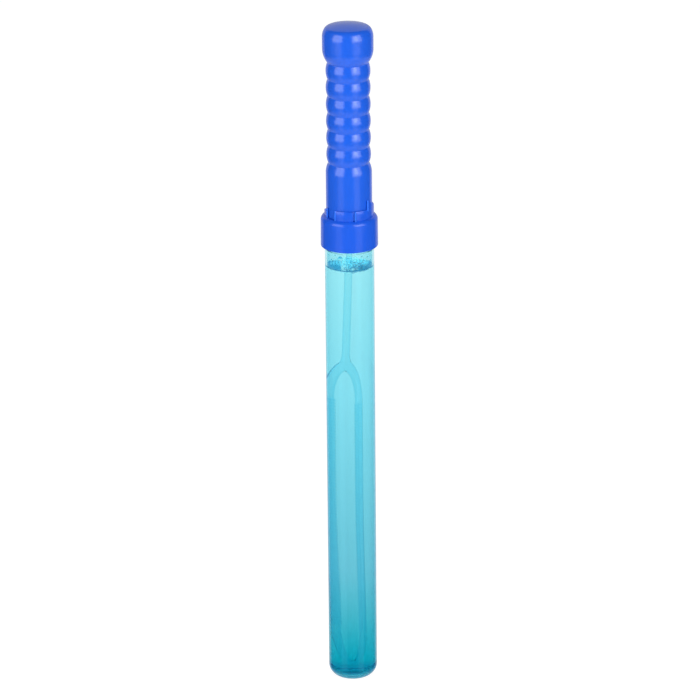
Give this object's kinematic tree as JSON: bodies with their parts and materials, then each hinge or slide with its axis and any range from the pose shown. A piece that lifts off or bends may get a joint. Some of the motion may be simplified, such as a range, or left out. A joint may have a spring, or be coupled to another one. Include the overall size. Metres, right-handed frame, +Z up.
{
  "type": "bubble wand",
  "caption": "Slim upright tube for bubble solution with a screw collar, and a ribbed handle that draws a long ridged loop out through the neck.",
  "frame": {"origin": "centre of the tube's foot, on the surface it stands on", "axes": "+Z up the tube's axis; the loop lies in the XZ plane, with its broad faces towards +Y and -Y"},
  "size_m": [0.0314, 0.0314, 0.3819],
  "materials": {
    "clear_tube": "clear light-blue blow-moulded plastic, glossy",
    "matte_collar": "satin blue injection-moulded plastic",
    "foam_seal": "white foamed liner",
    "glossy_handle": "glossy blue blow-moulded plastic",
    "clear_wand": "translucent pale-blue injection-moulded plastic"
  },
  "bodies": {
    "bottle": {"tube": "clear_tube"},
    "seal": {"seal_washer": "foam_seal"},
    "collar": {"screw_collar": "matte_collar"},
    "handle": {"handle_grip": "glossy_handle", "stopper": "matte_collar", "wand": "clear_wand"}
  },
  "joints": [
    {"name": "collar_rise", "type": "slide", "parent": "bottle", "child": "seal", "axis": [0, 0, 1], "range_m": [0, 0.0064]},
    {"name": "collar_turn", "type": "hinge", "parent": "seal", "child": "collar", "pos_m": [0, 0, 0.2657], "axis": [0, 0, 1], "range_deg": [0, 540]},
    {"name": "wand_pull", "type": "slide", "parent": "collar", "child": "handle", "axis": [0, 0, 1], "range_m": [0, 0.285]}
  ],
  "couplings": [
    {"joint": "collar_rise", "follows": "collar_turn", "m_per_rad": 0.00066845}
  ]
}
